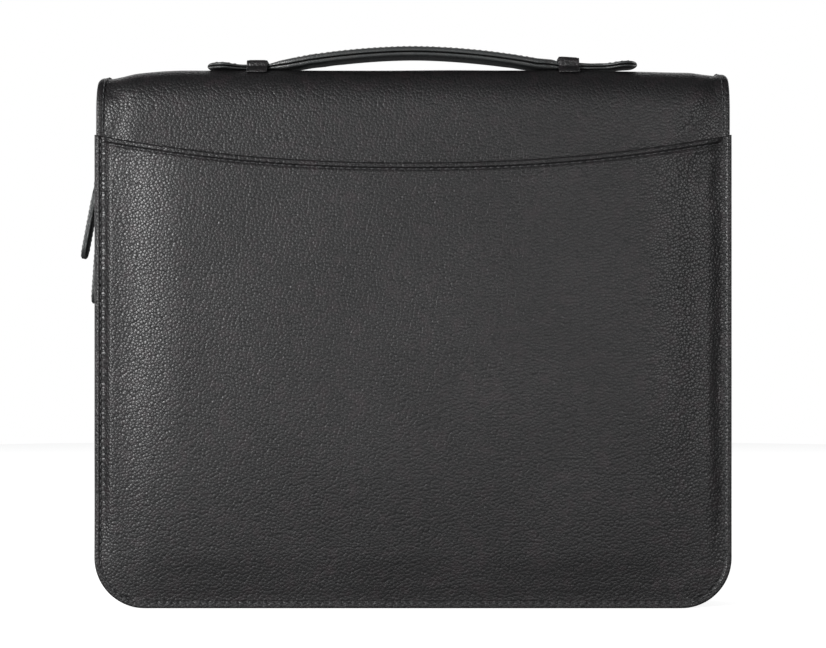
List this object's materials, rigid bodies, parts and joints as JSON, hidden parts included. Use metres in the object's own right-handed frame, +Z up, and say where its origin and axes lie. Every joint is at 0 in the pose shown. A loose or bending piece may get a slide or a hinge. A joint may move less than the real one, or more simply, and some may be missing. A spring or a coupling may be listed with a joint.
{
  "type": "leather document case",
  "caption": "Upright zip-around leather document case with a slip pocket on the front, a rounded spine on top and a flat strap handle that slides through two loops.",
  "frame": {"origin": "on the floor, under the middle of the whole case with its zip pulls", "axes": "+X to the right seen from the front, +Y to the back, +Z up; the pocket front faces -Y"},
  "size_m": [0.3456, 0.053, 0.2975],
  "materials": {
    "leather": "pebbled, satin",
    "strap_leather": "pebbled, satin",
    "zip_tape": "woven",
    "zip_metal": "satin nickel"
  },
  "bodies": {
    "case": {"cover_wrap": "leather", "front_pocket": "leather", "gusset_front": "leather", "gusset_back": "leather", "end_panel_left": "leather", "end_panel_right": "leather", "zip_tape_front": "zip_tape", "zip_tape_back": "zip_tape", "zip_chain_lower": "zip_metal", "zip_chain_upper": "zip_metal", "slider_upper": "zip_metal", "slider_lower": "zip_metal", "handle_top": "strap_leather", "handle_base": "strap_leather", "keeper_left": "leather", "keeper_right": "leather"},
    "pull_upper": {"ring_upper": "zip_metal", "tab_upper": "strap_leather"},
    "pull_lower": {"ring_lower": "zip_metal", "tab_lower": "strap_leather"}
  },
  "joints": [
    {"name": "upper_pull_swing", "type": "hinge", "parent": "case", "child": "pull_upper", "pos_m": [-0.16178, 0.00354, 0.2335], "axis": [0, 1, 0], "range_deg": [0, 150]},
    {"name": "lower_pull_swing", "type": "hinge", "parent": "case", "child": "pull_lower", "pos_m": [-0.16178, 0.00354, 0.2103], "axis": [0, 1, 0], "range_deg": [0, 7]}
  ]
}
